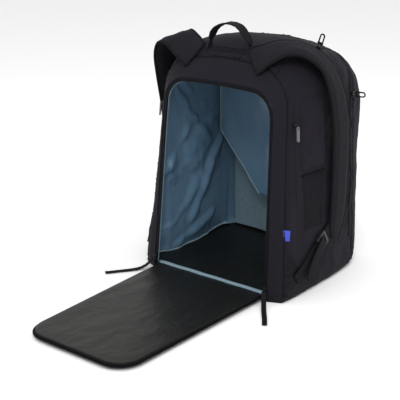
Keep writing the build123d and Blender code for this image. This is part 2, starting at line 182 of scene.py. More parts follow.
def weld(obj, reach):
    """Joins points that lie on each other, so that the shading has no seam there."""
    mesh = bmesh.new()
    mesh.from_mesh(obj.data)
    bmesh.ops.remove_doubles(mesh, verts=mesh.verts, dist=reach)
    mesh.to_mesh(obj.data)
    mesh.free()
    obj.data.shade_smooth()


def grid_faces(rows, cols, keep=None):
    faces = []
    for i in range(rows - 1):
        for j in range(cols - 1):
            if keep is None or keep(i, j):
                a = i * cols + j
                faces.append((a, a + 1, a + cols + 1, a + cols))
    return faces


def used_only(verts, faces):
    """Drops the points no face uses."""
    used = sorted({i for f in faces for i in f})
    new = {old: k for k, old in enumerate(used)}
    return [verts[i] for i in used], [tuple(new[i] for i in f) for f in faces]


def tube(name, paths, radius, mat, body, cyclic=False, flat=1.0):
    """Round piping or cord along one or more paths, as one mesh."""
    verts, faces = [], []
    around = 8
    for path in paths:
        pts = [Vector(p) for p in path]
        n = len(pts)
        up = Vector((0, 0, 1))
        first = len(verts)
        for i, p in enumerate(pts):
            a = pts[(i - 1) % n] if cyclic or i else pts[0]
            b = pts[(i + 1) % n] if cyclic or i < n - 1 else pts[-1]
            t = (b - a).normalized()
            side = t.cross(up)
            if side.length < 0.05:
                side = t.cross(Vector((0, 1, 0)))
            side.normalize()
            top = side.cross(t)
            up = top
            for k in range(around):
                g = 2 * math.pi * k / around
                verts.append(p + side * radius * math.cos(g) + top * radius * flat * math.sin(g))
        last = n if cyclic else n - 1
        for i in range(last):
            r0 = first + i * around
            r1 = first + ((i + 1) % n) * around
            for k in range(around):
                m = (k + 1) % around
                faces.append((r0 + k, r0 + m, r1 + m, r1 + k))
        if not cyclic:
            faces.append(tuple(first + k for k in reversed(range(around))))
            faces.append(tuple(first + (n - 1) * around + k for k in range(around)))
    return mesh_object(name, verts, faces, mat, body)


def resample(path, step=PATH_STEP):
    """Evenly spaced points along a path."""
    pts = np.array([list(p) for p in path], float)
    gaps = np.linalg.norm(np.diff(pts, axis=0), axis=1)
    along = np.concatenate([[0], np.cumsum(gaps)])
    count = max(int(along[-1] / step), 2)
    want = np.linspace(0, along[-1], count + 1)
    return np.stack([np.interp(want, along, pts[:, k]) for k in range(3)], 1)


def between(a, b, c, d, t):
    """A smooth value from b to c for t from 0 to 1, with a before them and d after."""
    return 0.5 * (2 * b + (c - a) * t + (2 * a - 5 * b + 4 * c - d) * t**2 + (3 * b - a - 3 * c + d) * t**3)


def smooth_path(points, step=PATH_STEP):
    """A smooth curve through given points."""
    p = np.array(points, float)
    p = np.vstack([2 * p[0] - p[1], p, 2 * p[-1] - p[-2]])
    out = []
    for i in range(1, len(p) - 2):
        for t in np.linspace(0, 1, 12, endpoint=False):
            out.append(between(p[i - 1], p[i], p[i + 1], p[i + 2], t))
    out.append(p[-2])
    return resample(out, step)


def stitches(name, paths, body, pitch=0.0042, mat=None, size=0.00042):
    """A run of thread stitches along each path."""
    verts, faces = [], []
    for path in paths:
        pts = resample(path, pitch)
        for i in range(len(pts) - 1):
            a = Vector(pts[i])
            b = Vector(pts[i + 1])
            t = b - a
            if t.length < 1e-6:
                continue
            b = a + t * 0.62
            t.normalize()
            s = t.cross(Vector((0.31, 0.52, 0.79))).normalized()
            u = s.cross(t)
            k = len(verts)
            for p, r in ((a, 0.3), (a + t * 0.0005, 1.0), (b - t * 0.0005, 1.0), (b, 0.3)):
                for g in range(4):
                    w = math.pi / 2 * g
                    verts.append(p + (s * math.cos(w) + u * math.sin(w)) * size * r)
            for ring in range(3):
                for g in range(4):
                    h = (g + 1) % 4
                    r0 = k + ring * 4
                    faces.append((r0 + g, r0 + h, r0 + 4 + h, r0 + 4 + g))
    return mesh_object(name, verts, faces, mat or THREAD, body)


# ---- the bag's surface
def corner(p0, p1, p2, n):
    """A rounded corner from p0 to p2 round p1."""
    t = np.linspace(0, 1, n, endpoint=False)[:, None]
    w = 0.72
    top = (1 - t) ** 2 * p0 + 2 * w * t * (1 - t) * p1 + t**2 * p2
    return top / ((1 - t) ** 2 + 2 * w * t * (1 - t) + t**2)


def line(p0, p1, n):
    t = np.linspace(0, 1, n, endpoint=False)[:, None]
    return p0 * (1 - t) + p1 * t


def ring(spec, inset):
    """Points round an outline from the middle of the base, up the right side and over."""
    _, lean, low, high, side, crown, r_low, r_high, bottom = spec
    low, high, side, bottom = low - inset, high - inset, side - inset, bottom + inset
    r_low = max(r_low - inset, 0.003)
    r_high = max(r_high - inset, 0.008)
    n = SEGMENTS
    foot = np.array([low, bottom])
    shoulder = np.array([high, side])
    up = (shoulder - foot) / np.linalg.norm(shoulder - foot)
    cut = r_high * 0.93
    on_crown = np.array([high - cut, side + crown * (1 - ((high - cut) / high) ** 2)])
    right = [
        line(np.array([0, bottom]), foot - [r_low, 0], n[0]),
        corner(foot - [r_low, 0], foot, foot + up * r_low, n[1]),
        line(foot + up * r_low, shoulder - up * cut, n[2]),
        corner(shoulder - up * cut, shoulder + np.array([0, 0.25 * (on_crown[1] - side)]), on_crown, n[3]),
    ]
    right = np.vstack(right)
    x = np.linspace(on_crown[0], -on_crown[0], n[4] + 1)
    top = np.stack([x, side + crown * (1 - (x / high) ** 2)], 1)
    left = right[1:][::-1] * [-1, 1]
    flat = np.vstack([right, top, left, [[0, bottom]]])
    a = math.radians(lean)
    return np.stack([flat[:, 0], YH + spec[0] + flat[:, 1] * math.sin(a), flat[:, 1] * math.cos(a)], 1)


def section(w):
    """The outline at a place between two given ones, smoothly."""
    i = min(max(int(w), 0), len(OUTLINES) - 2)
    t = w - i
    a = OUTLINES[max(i - 1, 0)] if i != 1 else OUTLINES[1]
    b = OUTLINES[i]
    c = OUTLINES[i + 1]
    d = OUTLINES[min(i + 2, len(OUTLINES) - 1)]
    if i == 0:
        return b + (c - b) * t
    return between(a, b, c, d, t)


def normals(g):
    """Outward unit normals of a grid of points."""
    du = np.gradient(g, axis=0)
    dv = np.gradient(g, axis=1)
    n = np.cross(dv, du)
    return n / np.maximum(np.linalg.norm(n, axis=2, keepdims=True), 1e-9)


RINGS = (13, 14, 20, 28, 20, 16)  # from each outline up to the next; the last gap has 13 with its end
STATIONS = np.concatenate([np.linspace(k, k + 1, count, endpoint=False) for k, count in enumerate(RINGS)]
                          + [np.linspace(6, 7, 13)])


def surface(inset, stations):
    g = np.array([ring(section(w), inset) for w in stations])
    n = normals(g)
    middle = g.mean(axis=(0, 1))
    if ((g - middle) * n).sum() < 0:
        n = -n
    return g, n


def ridge(distance, width):
    return np.exp(-((distance / width) ** 2))


def rough(g, scale, seed, octaves=3):
    """Smooth noise at every point of a grid."""
    out = np.zeros(g.shape[:2])
    for i in range(g.shape[0]):
        for j in range(g.shape[1]):
            p = Vector(g[i, j]) * scale + Vector((seed, seed * 1.7, seed * 0.3))
            out[i, j] = noise.fractal(p, 0.6, 2.1, octaves)
    return out


G, N = surface(0.0, STATIONS)
W = STATIONS[:, None] + 0 * G[:, :, 0]
Y = G[:, :, 1] - YH
X = G[:, :, 0]
Z = G[:, :, 2]
high_up = Z > 0.30
seam_front = Y - SEAM_Y
wrinkle = rough(G, 9.0, 3.1) * 0.0035 + rough(G, 24.0, 8.4) * 0.0011
pucker = np.sin(Z * 520 + X * 430 + 3 * rough(G, 20, 5.5, 1)) * 0.0005
lift = wrinkle * np.clip(W - 0.25, 0, 1) * np.clip(Z / 0.03, 0, 1)
arc_gap = (W - 1.0) * 0.038
lift -= 0.0022 * ridge(arc_gap, 0.0035) * (Z > 0.012)
lift += (0.0012 + pucker) * ridge(arc_gap - 0.010, 0.007) * (Z > 0.012)
lift += 0.0018 * ridge(W - 0.5, 0.35) * (Z > 0.012)
lift -= 0.0022 * ridge(seam_front, 0.003)
lift += ((0.0015 + pucker) * ridge(seam_front - 0.010, 0.008)
         + (0.0012 + pucker) * ridge(seam_front + 0.010, 0.008))
gusset = Y - (0.046 + 0.02 * np.clip(Z / 0.45, 0, 1))
lift += (0.0010 + 1.4 * pucker) * ridge(gusset + 0.012, 0.010) * (np.abs(X) > 0.12)
crown_seam = np.abs(np.abs(X) - TOP_X)
lift -= 0.0014 * ridge(crown_seam, 0.0028) * high_up * (W > 1.02) * (W < 5)
# long folds where a full bag's sides sag towards the base
for y0, z0, slope, depth in ((0.18, 0.10, 0.9, 0.0030), (0.22, 0.17, 0.7, 0.0026), (0.12, 0.05, 0.5, 0.0020),
                             (0.25, 0.30, 1.2, 0.0022), (0.20, 0.36, 0.8, 0.0018)):
    off = (Z - z0) - slope * (Y - y0)
    reach = ridge(Y - y0, 0.05)
    lift -= 0.6 * depth * ridge(off, 0.011) * reach * (np.abs(X) > 0.11)
    lift += 0.5 * depth * ridge(off - 0.018, 0.013) * reach * (np.abs(X) > 0.11)
lift = np.clip(lift, -0.004, 0.006)
lift[Z < 0.004] = 0
# the cloth is held flat along the side zips, under the folded handle and under the strap roots
lift *= 1 - ridge(Y - SIDE_ZIP_Y, 0.016) * (np.abs(X) > 0.12) * (Z < 0.40)
lift *= 1 - 0.9 * ridge(Y - 0.100, 0.050) * ridge(X, 0.085) * (Z > 0.40)
under_strap = (W < 1.25) & (Z > 0.36)
lift[under_strap] = np.minimum(lift[under_strap], 0.0)
OUTER = G + N * lift[:, :, None]

# the far face closes the bag: rings drawn in from the last outline to its middle, gently domed
CAP_STEPS = np.linspace(0.04, 1.0, 27)
CAP_DOME = 0.0055
rim_ring = G[-1]
rim_lift = OUTER[-1] - G[-1]
cap_middle = np.array([0.0, rim_ring[:, 1].mean(), (rim_ring[:, 2].min() + rim_ring[:, 2].max()) / 2])
cap = []
for t in CAP_STEPS:
    drawn_in = cap_middle + (rim_ring - cap_middle) * (1 - t) + rim_lift * (1 - t) ** 8
    sagging = np.array([0.0012 * noise.fractal(Vector(p) * 11 + Vector((7, 2, 9)), 0.6, 2.1, 3)
                        for p in drawn_in])
    drawn_in[:, 1] += CAP_DOME * (1 - (1 - t) ** 3) + sagging * min(t * 6, 1) * (1 - t**6)
    cap.append(drawn_in)
G = np.concatenate([G, cap])
OUTER = np.concatenate([OUTER, cap])
STATIONS = np.concatenate([STATIONS, 7 + CAP_STEPS])
rows, cols = OUTER.shape[:2]
flat_verts = OUTER.reshape(-1, 3)
OUTER_N = normals(OUTER)
if ((OUTER - OUTER.mean(axis=(0, 1))) * OUTER_N).sum() < 0:
    OUTER_N = -OUTER_N


def panel(name, keep, mat, replaced):
    def wanted(i, j):
        p = (G[i, j] + G[i + 1, j + 1]) / 2
        return keep(p, (STATIONS[i] + STATIONS[i + 1]) / 2)

    faces = grid_faces(rows, cols, wanted)
    verts, faces = used_only(flat_verts, faces)
    obj = mesh_object(name, verts, faces, mat, "bag", thick=0.0014)
    weld(obj, 0.0001)
    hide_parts(*replaced)
    return obj


Z_SEAM = 0.012


def is_low(p):
    return p[2] < Z_SEAM


def is_far(p):
    return p[1] - YH > SEAM_Y


def is_top(p):
    return abs(p[0]) < TOP_X and p[2] > 0.2


def is_upper(p, w):
    """Behind the frame band, above the base and ahead of the far panel."""
    return not is_low(p) and w > 1 and not is_far(p)


panel("v_base_panel", lambda p, w: is_low(p), BASE, ["base_panel"])
panel("v_frame_band", lambda p, w: not is_low(p) and w < 1, SHELL, ["frame_band"])
panel("v_front_panel", lambda p, w: not is_low(p) and w > 1 and is_far(p), SHELL,
      ["front_panel", "wall_foam"])
panel("v_top_panel", lambda p, w: is_upper(p, w) and is_top(p), SHELL, ["top_panel"])
for sgn, word in SIDES:
    panel(f"v_side_panel_{word}", lambda p, w: is_upper(p, w) and not is_top(p) and p[0] * sgn > 0, SHELL,
          [f"side_panel_{word}", f"side_foam_{word}"])


# ---- points on the bag
def nearest(y, z, sgn, lift=0.0):
    """The place on a side at that distance from the hinge line and height, and its normal."""
    mask = (OUTER[:, :, 0] * sgn > 0.09)
    d = (OUTER[:, :, 1] - YH - y) ** 2 + (OUTER[:, :, 2] - z) ** 2 + 10 * ~mask
    i, j = np.unravel_index(np.argmin(d), d.shape)
    p, n = OUTER[i, j], OUTER_N[i, j]
    x = p[0] - (n[1] * (y + YH - p[1]) + n[2] * (z - p[2])) / n[0]
    return np.array([x, y + YH, z]) + n * lift, n


def on_crown(x, y, lift=0.0):
    """The place on top of the bag above x, y, and its normal."""
    mask = OUTER[:, :, 2] > 0.40
    d = (OUTER[:, :, 1] - YH - y) ** 2 + (OUTER[:, :, 0] - x) ** 2 + 10 * ~mask
    i, j = np.unravel_index(np.argmin(d), d.shape)
    p, n = OUTER[i, j], OUTER_N[i, j]
    z = p[2] - (n[0] * (x - p[0]) + n[1] * (y + YH - p[1])) / n[2]
    return np.array([x, y + YH, z]) + n * lift, n


def seam_line(w, lift=0.0, low=0.012):
    """A line round the bag along one station, above a height."""
    i = int(np.argmin(np.abs(STATIONS - w)))
    pts = OUTER[i] + OUTER_N[i] * lift
    keep = pts[:, 2] > low
    return pts[keep]


def across_line(y, lift, z_low):
    """A line over the bag in the plane y, from one side to the other."""
    out = []
    for j in range(cols):
        col = OUTER[:, j]
        yy = col[:, 1] - YH
        order = np.argsort(yy)
        if yy.min() > y or yy.max() < y:
            continue
        p = np.array([np.interp(y, yy[order], col[order, k]) for k in range(3)])
        n = np.array([np.interp(y, yy[order], OUTER_N[order, j, k]) for k in range(3)])
        n = n / np.linalg.norm(n)
        if p[2] > z_low:
            out.append((p + n * lift, n))
    return [p for p, _ in out], [n for _, n in out]


def along_places(places, find):
    """The points and the normals that find gives at several places."""
    found = [find(place) for place in places]
    return [p for p, _ in found], [n for _, n in found]


def above_tape(pts, nrm):
    """The line of a zip's coil, just above the middle of its tape."""
    return [p + COIL_LIFT * n for p, n in zip(pts, nrm)], nrm


def strip(name, pts, nrm, width, mat, body, thick=0.0008, bow=0.0):
    """A flat tape along a line, facing the way its normals point."""
    verts = []
    steps = 5
    for i, p in enumerate(pts):
        a = Vector(pts[max(i - 1, 0)])
        b = Vector(pts[min(i + 1, len(pts) - 1)])
        side = (b - a).normalized().cross(Vector(nrm[i])).normalized()
        for k in range(steps):
            u = k / (steps - 1) * 2 - 1
            verts.append(Vector(p) + side * width / 2 * u + Vector(nrm[i]) * bow * (1 - u * u))
    return mesh_object(name, verts, grid_faces(len(pts), steps), mat, body, thick=thick)


def coil(name, runs, body, pitch=0.0022, half=0.0021):
    """Zip coil: two rows of small teeth that meet along each line of points and normals."""
    verts, faces = [], []
    for pts, nrm in runs:
        line_pts = resample(pts, pitch)
        at = np.linspace(0, 1, len(pts))
        want = np.linspace(0, 1, len(line_pts))
        ns = np.stack([np.interp(want, at, np.array(nrm)[:, k]) for k in range(3)], 1)
        for i in range(len(line_pts) - 1):
            p = Vector(line_pts[i])
            t = (Vector(line_pts[i + 1]) - p).normalized()
            n = Vector(ns[i]).normalized()
            s = t.cross(n).normalized()
            shift = half * 0.45 * (1 if i % 2 else -1)
            k = len(verts)
            for su in (-1, 1):
                for tu in (-1, 1):
                    for h, taper in ((0.0, 1.0), (0.0011, 0.62)):
                        verts.append(p + s * (shift + su * half * 0.75 * taper)
                                     + t * tu * pitch * 0.34 * taper + n * h)
            faces += [(k, k + 1, k + 3, k + 2), (k + 4, k + 6, k + 7, k + 5), (k, k + 4, k + 5, k + 1),
                      (k + 2, k + 3, k + 7, k + 6), (k + 1, k + 5, k + 7, k + 3)]
    return mesh_object(name, verts, faces, COIL, body, smooth=False)


# ---- seams on the outside
piping = tube("v_frame_piping", [resample(seam_line(1.0, 0.0008))], 0.0019, TRIM, "bag")
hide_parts("frame_piping")
far_pts, _ = across_line(SEAM_Y, 0.0008, 0.014)
tube("v_far_piping", [resample(far_pts)], 0.0016, TRIM, "bag")
face_edge_ring = resample(seam_line(7.0, 0.0004, 0.0))[:-1]
tube("v_far_face_piping", [face_edge_ring], 0.0016, TRIM, "bag", cyclic=True)
# seam stitches beside the piping
stitch_runs = [seam_line(1.08, 0.0006, 0.02), seam_line(0.86, 0.0006, 0.02), seam_line(0.14, 0.0004, 0.02)]
near_far, _ = across_line(SEAM_Y - 0.006, 0.0004, 0.02)
stitch_runs.append(near_far)
stitch_runs.append(seam_line(7.04, 0.0006, 0.0))
stitches("v_seam_stitches", stitch_runs, "bag")
# mitred corners of the frame band
mitre = []
for sgn in (1, -1):
    run = []
    for w in np.linspace(0.06, 0.98, 9):
        i = int(np.argmin(np.abs(STATIONS - w)))
        pts = OUTER[i]
        score = np.abs(np.arctan2(pts[:, 2] - 0.36, pts[:, 0] * sgn - 0.08) - math.radians(42))
        score[(pts[:, 2] < 0.36) | (pts[:, 0] * sgn < 0.05)] = 9
        j = int(np.argmin(score))
        run.append(OUTER[i, j] + OUTER_N[i, j] * 0.0003)
    mitre.append(run)
tube("v_mitre_seams", mitre, 0.0007, TRIM, "bag")

# ---- zips on the bag
lid_pts, lid_nrm = across_line(LID_ZIP_Y, TAPE_LIFT, LID_ZIP_LOW)
lid_tape = strip("v_lid_zip_tape", lid_pts, lid_nrm, 0.018, TRIM, "bag")
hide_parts("lid_zip_tape")
front_pts, front_nrm = across_line(FRONT_ZIP_Y, TAPE_LIFT, FRONT_ZIP_LOW)
front_tape = strip("v_front_zip_tape", front_pts, front_nrm, 0.018, TRIM, "bag")
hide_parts("front_zip_tape")
runs = [above_tape(lid_pts, lid_nrm), above_tape(front_pts, front_nrm)]
for sgn, word in SIDES:
    pts, nrm = along_places(np.arange(0.08, 0.388, 0.006), lambda z: nearest(SIDE_ZIP_Y, z, sgn, TAPE_LIFT))
    strip(f"v_side_zip_tape_{word}", pts, nrm, 0.012, TRIM, "bag")
    runs.append(above_tape(pts, nrm))
pts, nrm = along_places(np.arange(-0.044, 0.0441, 0.004), lambda x: on_crown(x, TOP_ZIP_Y, TAPE_LIFT))
strip("v_top_zip_tape", pts, nrm, 0.014, TRIM, "bag")
runs.append(above_tape(pts, nrm))
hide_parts("side_zip_tapes")
coils = coil("v_zip_coils", runs, "bag")
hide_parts("zip_coils")
welts = []
for off in (-0.0075, 0.0075):
    run, _ = along_places(np.arange(-0.040, 0.0341, 0.004), lambda x: on_crown(x, TOP_ZIP_Y + off, 0.0022))
    welts.append(resample(run))
tube("v_top_zip_welts", welts, 0.0022, SHELL, "bag")

# ---- door opening: zip round the edge
C4, S4 = math.cos(LEAN), math.sin(LEAN)


def opening_line(inset, ahead, low):
    """A line round the door opening, drawn in from its outline and standing ahead of it."""
    pts = ring(OUTLINES[0], inset)
    pts = pts + np.array([0, -C4 * ahead, S4 * ahead])
    return resample(pts[pts[:, 2] > low])


front_n = np.array([0, -C4, S4])
edge = opening_line(0.0040, 0.0008, 0.0135)
edge_tape = strip("v_frame_zip_tape", edge, [front_n] * len(edge), 0.0068, TRIM, "bag")
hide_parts("frame_zip_tape")
edge = opening_line(0.0057, 0.0010, 0.0135)
edge_coil = coil("v_frame_zip_coil", [(edge, [front_n] * len(edge))], "bag", half=0.0016)
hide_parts("frame_zip_coil")

# ---- the lining
IN_STATIONS = np.concatenate([np.linspace(0.0, 1, 10, endpoint=False), np.linspace(1, 5.84, 80)])
LINING_INSET = 0.0062
L, LN = surface(LINING_INSET, IN_STATIONS)
LY = L[:, :, 1] - YH
LX = L[:, :, 0]
LZ = L[:, :, 2]
sag = rough(L * np.array([1, 1, 0.55]), 8.0, 21.5) * 0.011 + rough(L, 19.0, 2.2) * 0.0035
for y0, z0, slope, depth, wide in ((0.05, 0.20, 0.9, 0.0065, 0.014), (0.10, 0.10, 0.7, 0.0080, 0.018),
                                   (0.14, 0.32, -1.1, 0.0060, 0.016), (0.20, 0.16, 1.3, 0.0075, 0.016),
                                   (0.09, 0.40, -0.7, 0.0050, 0.012), (0.24, 0.30, 0.6, 0.0060, 0.018),
                                   (0.17, 0.05, 0.3, 0.0070, 0.012), (0.03, 0.33, 1.8, 0.0045, 0.010)):
    off = (LZ - z0) - slope * (LY - y0)
    reach = ridge(LY - y0, 0.09)
    sag += depth * (ridge(off, wide) - 0.6 * ridge(off - wide * 1.6, wide)) * reach
belly = 0.020 * np.sin(np.clip(LY / 0.30, 0, 1) * math.pi) * np.exp(-(((LZ - 0.06) / 0.10) ** 2))
held = np.clip((LY - 0.036) / 0.03, 0, 1) * np.clip((0.312 - LY) / 0.03, 0.2, 1)
inward = (0.004 + np.abs(sag) * 0.5 + sag * 0.5 + belly) * held
inward = np.maximum(inward, 0.0045 * np.clip((LY - 0.22) / 0.04, 0, 1))
inward = np.clip(inward, 0.0, 0.032)
LINED = L - LN * inward[:, :, None]
lr, lc = LINED.shape[:2]
lining_verts = LINED.reshape(-1, 3)
Z_HEM = 0.0135


def lining_panel(name, keep, replaced):
    def wanted(i, j):
        p = (L[i, j] + L[i + 1, j + 1]) / 2
        low = min(LINED[i, j, 2], LINED[i + 1, j + 1, 2])
        return low > Z_HEM - 0.001 and p[2] > 0.011 and keep(p)

    verts, faces = used_only(lining_verts, grid_faces(lr, lc, wanted))
    obj = mesh_object(name, verts, faces, LINING, "bag", thick=-0.0008)
    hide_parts(*replaced)
    return obj


lining_panel("v_lining_top", is_top, ["lining_top", "front_lining"])
lining_panel("v_lining_right", lambda p: not is_top(p) and p[0] > 0, ["lining_right"])
lining_panel("v_lining_left", lambda p: not is_top(p) and p[0] <= 0, ["lining_left"])

# the light strip sewn round the inside of the opening
FACING_INSET, FACING_LIFT = 0.0060, 0.0030  # from the outside, then off the lining
Fg, Fn = surface(FACING_INSET, np.array([0.0, 0.3, 0.7, 1.0, 1.12, 1.25, 1.4, 1.55]))
fr, fc = Fg.shape[:2]
FACE = Fg - Fn * FACING_LIFT
fverts, ffaces = used_only(FACE.reshape(-1, 3), grid_faces(fr, fc, lambda i, j: FACE[i, j, 2] > 0.016))
facing = mesh_object("v_facing_strip", fverts, ffaces, HEATHER, "bag", thick=-0.0009)
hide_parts("facing_strip")
tube("v_facing_binding", [resample([p for p in FACE[-1] if p[2] > 0.02])], 0.0014, HEATHER, "bag")
face_edge = FACE[-1] - Fn[-1] * 0.0010
stitches("v_facing_stitches", [[p for p in face_edge - [0, 0.003, 0] if p[2] > 0.02]], "bag",
         mat=LIGHT_TAPE)

# bound hem where the lining meets the floor
hems = []
for sgn in (1, -1):
    run = []
    for i in range(lr):
        js = [j for j in range(lc)
              if LINED[i, j, 2] > Z_HEM - 0.001 and 0.011 < LZ[i, j] < 0.1 and LX[i, j] * sgn > 0.02]
        if js and 0.022 < LY[i, 0] < 0.305:
            j = min(js, key=lambda q: LINED[i, q, 2])
            run.append(LINED[i, j] - [0, 0, 0.0005])
    hems.append(smooth_path(run[::3], 0.005))
hem = tube("v_lining_hem", hems, 0.0030, LIGHT_TAPE, "bag", flat=0.8)
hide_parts("lining_hem")


# ---- back wall, divider, pocket
BACK_Y, DIVIDER_Y, POCKET_Y = 0.307, 0.238, 0.297
BACK_STATION, DIVIDER_STATION = 5.84, 4.5
DIVIDER_HALF, SLANT_FROM, SLANT = 0.150, 0.26, 0.80
SHEET_ROWS, SHEET_COLS = 90, 70


def half_width(w, z, inset):
    """Half width of the bag at a height, across the section at one station."""
    pts = ring(section(w), inset)
    right = pts[: len(pts) // 2]
    right = right[(right[:, 0] > 0) & (right[:, 2] > 0.002)]
    return float(np.interp(z, right[:, 2], right[:, 0], right=0.004))


def inner_x(y, z, sgn):
    """Half width inside the lining at a distance and height."""
    mask = LINED[:, :, 0] * sgn > 0
    d = (LY - y) ** 2 + (LZ - z) ** 2 + 10 * ~mask
    i, j = np.unravel_index(np.argmin(d), d.shape)
    return abs(LINED[i, j, 0])


def hanging(name, y, x_left, x_right, z_low, z_high, mat, waves, depth, replaced):
    """A sheet across the inside with soft folds. Its sides are functions of height, its low edge of u."""
    xs = np.linspace(0, 1, SHEET_COLS)
    zs = np.linspace(0, 1, SHEET_ROWS)
    verts = []
    for v in zs:
        for u in xs:
            z = z_low(u) + (z_high - z_low(u)) * v
            a, b = x_left(z), x_right(z)
            x = a + (b - a) * u
            p = Vector((x * 9, z * 5, waves))
            fold = depth * (noise.fractal(p, 0.6, 2.0, 3) + 0.5 * math.sin(x * 34 + z * 11 + waves))
            verts.append((x, YH + y + fold * (1 - 0.6 * v), z))
    obj = mesh_object(name, verts, grid_faces(len(zs), len(xs)), mat, "bag", thick=0.0010)
    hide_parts(*replaced)
    return obj, verts


def divider_right(z):
    return half_width(DIVIDER_STATION, z, 0.012)


def divider_left(z):
    """The divider's free edge: upright above SLANT_FROM, slanting away to the right below it."""
    upright = -min(DIVIDER_HALF, divider_right(z))
    return upright + max(SLANT_FROM - z, 0) * SLANT


def back_right(z):
    return half_width(BACK_STATION, z, 0.010)


back, back_pts = hanging("v_lining_back", BACK_Y, lambda z: -back_right(z), back_right, lambda u: Z_HEM, 0.430,
                         LINING, 4.0, 0.004, ["lining_back"])
div, div_pts = hanging("v_divider", DIVIDER_Y, divider_left, divider_right, lambda u: 0.125, 0.452,
                       LINING, 9.0, 0.007, ["divider"])
tube("v_divider_binding", [resample(div_pts[::SHEET_COLS])], 0.0026, LIGHT_TAPE, "bag", flat=0.7)
mesh, mesh_pts = hanging("v_mesh_pocket", POCKET_Y, lambda z: -0.150, lambda z: 0.120, lambda u: 0.016, 0.190,
                         HEATHER, 13.0, 0.004, ["mesh_pocket"])
tube("v_mesh_pocket_binding", [resample(mesh_pts[-SHEET_COLS:])], 0.0026, LIGHT_TAPE, "bag")

# ---- floor and hinge
floor_y = np.linspace(0.004, 0.309, 62)
floor_x = np.linspace(-1, 1, 60)
verts = []
for y in floor_y:
    half = 0.1405 + 0.037 * min(y / 0.014, 1) if y < 0.014 else 0.1775
    for u in floor_x:
        half_here = min(half, inner_x(max(y, 0.02), 0.02, 1) + 0.010) if y > 0.014 else min(half, 0.139 + y)
        x = u * half_here
        z = 0.0122 + 0.0011 * max(noise.noise(Vector((x * 30, y * 22, 1.5))), -0.1)
        verts.append((x, YH + y, z))
tray = mesh_object("v_floor_tray", verts, grid_faces(62, 60), TARP, "bag", thick=0.0010)
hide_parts("floor_tray")
roll = [(x, YH + 0.0072 + 0.0005 * math.sin(x * 90), 0.0132) for x in np.linspace(-0.137, 0.137, 40)]
hinge = tube("v_hinge_strip", [roll], 0.0052, LIGHT_TAPE, "bag", flat=0.62)
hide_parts("hinge_strip")


# ---- the door
DOOR_LOW, DOOR_HIGH, DOOR_LONG, DOOR_R = 0.137, 0.124, 0.4035, 0.048


def door_edge(inset):
    """The door's outline on the floor, from its right end at the hinge round to the left one."""
    low, high, long, r = DOOR_LOW - inset, DOOR_HIGH - inset, DOOR_LONG - inset, DOOR_R - inset
    foot = np.array([low, 0.001 + inset * 0.6])
    tip = np.array([high, long])
    up = (tip - foot) / np.linalg.norm(tip - foot)
    right = np.vstack([
        line(foot, tip - up * r, 60),
        corner(tip - up * r, tip, tip - np.array([r, 0]), 24),
    ])
    far = line(tip - np.array([r, 0]), np.array([-high + r, long]), 40)
    return np.vstack([right, far, (right * [-1, 1])[::-1]])


def door_line(inset, z):
    """The door's outline at a height, as an even path."""
    return resample([(x, YH - y, z) for x, y in door_edge(inset)])


def door_height(x, y):
    """Height of the mat's face: gentle waves and a few creases of the coated cloth."""
    z = 0.0009 * noise.fractal(Vector((x * 10, y * 8, 0.7)), 0.6, 2, 3)
    z += 0.0005 * noise.fractal(Vector((x * 34, y * 12, 4.1)), 0.6, 2, 2)
    return z


def door_sheet(name, inset, z, mat, relief, replaced, flip=False, thick=0.0010):
    edge = door_edge(inset)
    n = len(edge)
    rings = 46
    verts = []
    for k in range(rings):
        t = k / (rings - 1)
        for x, y in edge:
            spine = min(max(y, 0.10), 0.31)
            px, py = x * (1 - t), spine + (y - spine) * (1 - t)
            rim = 1 - math.exp(-(t * 0.13 / 0.006))
            verts.append((px, YH - py, z + relief * (door_height(px, py) * rim + 0.0006 * rim)))
    faces = []
    for k in range(rings - 1):
        for i in range(n - 1):
            a = k * n + i
            faces.append((a, a + 1, a + n + 1, a + n) if not flip else (a, a + n, a + n + 1, a + 1))
    for near in range(0, (rings - 1) * n, n):
        other = near + n - 1
        faces.append((other, near, near + n, other + n) if not flip else (other, other + n, near + n, near))
    obj = mesh_object(name, verts, faces, mat, "door", thick=thick)
    weld(obj, 0.0003)
    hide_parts(*replaced)
    return obj


MAT_Z, UNDER_Z = 0.0118, 0.0040  # the two faces of the open door
door_sheet("v_door_mat", 0.0030, MAT_Z, TARP, 1.0, ["door_mat", "door_foam"])
door_sheet("v_door_outer", 0.0030, UNDER_Z, SHELL, -0.4, ["door_outer_panel"], flip=True)
edge = door_edge(0.0036)
wall = [(x, YH - y, z) for z in (0.0045, 0.0112) for x, y in edge]
n = len(edge)
wall_faces = [(i, i + 1, n + i + 1, n + i) for i in range(n - 1)] + [(n - 1, 0, n, 2 * n - 1)]
mesh_object("v_door_wall", wall, wall_faces, SHELL, "door", thick=0.001)
binding = tube("v_door_binding", [door_line(0.0026, 0.0098)], 0.0021, TRIM, "door")
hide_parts("door_binding")
stitches("v_door_stitches", [door_line(0.0085, 0.0121)], "door")
tape_line = door_line(-0.0002, 0.0080)
up_n = [np.array([0, 0, 1.0])] * len(tape_line)
door_tape = strip("v_door_zip_tape", tape_line, up_n, 0.0050, TRIM, "door")
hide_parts("door_zip_tape")

